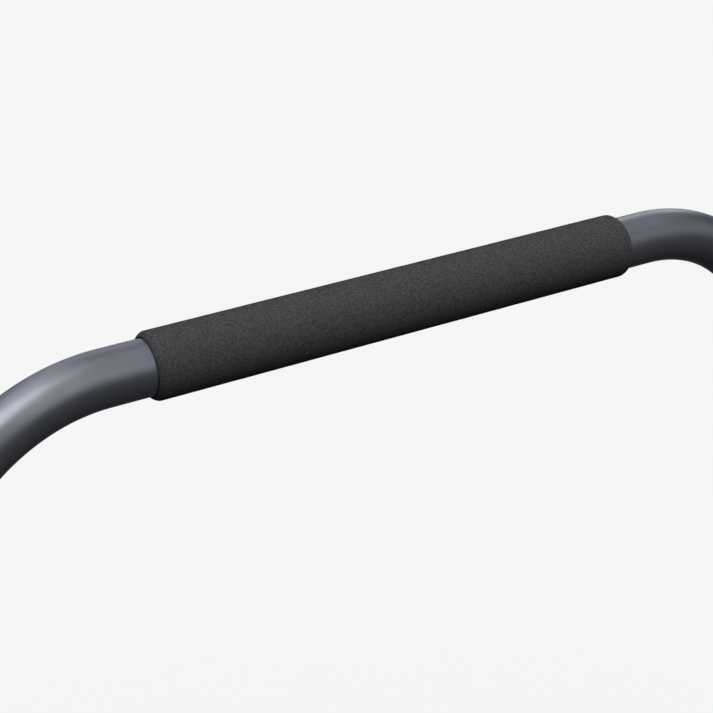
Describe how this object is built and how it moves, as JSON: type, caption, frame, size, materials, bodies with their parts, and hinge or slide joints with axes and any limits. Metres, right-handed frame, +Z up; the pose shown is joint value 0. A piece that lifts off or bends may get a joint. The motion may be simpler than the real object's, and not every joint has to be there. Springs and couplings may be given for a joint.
{
  "type": "parallette bar",
  "caption": "Tall arched steel training bar with a foam grip, bolted into base rails on ribbed rubber feet.",
  "frame": {"origin": "on the floor, under the middle of the handle", "axes": "+X along the handle, +Y along the base rails from the bolts' heads towards their nuts, +Z up"},
  "size_m": [0.681, 0.4306, 0.7187],
  "materials": {
    "coated_steel": "dark slate powder coat, smooth and satin",
    "foam": "charcoal closed-cell foam with a fine matte skin",
    "rubber": "black moulded rubber, matte",
    "zinc_plate": "bright zinc plate"
  },
  "bodies": {
    "root": {"handle_tube": "coated_steel", "foam_grip": "foam", "base_left": "coated_steel", "rubber_foot_left_front": "rubber", "rubber_foot_left_back": "rubber", "bolt_left_lower": "zinc_plate", "washer_left_lower_front": "zinc_plate", "washer_left_lower_back": "zinc_plate", "dome_nut_left_lower": "zinc_plate", "bolt_left_upper": "zinc_plate", "washer_left_upper_front": "zinc_plate", "washer_left_upper_back": "zinc_plate", "dome_nut_left_upper": "zinc_plate", "base_right": "coated_steel", "rubber_foot_right_front": "rubber", "rubber_foot_right_back": "rubber", "bolt_right_lower": "zinc_plate", "washer_right_lower_front": "zinc_plate", "washer_right_lower_back": "zinc_plate", "dome_nut_right_lower": "zinc_plate", "bolt_right_upper": "zinc_plate", "washer_right_upper_front": "zinc_plate", "washer_right_upper_back": "zinc_plate", "dome_nut_right_upper": "zinc_plate"}
  },
  "joints": []
}
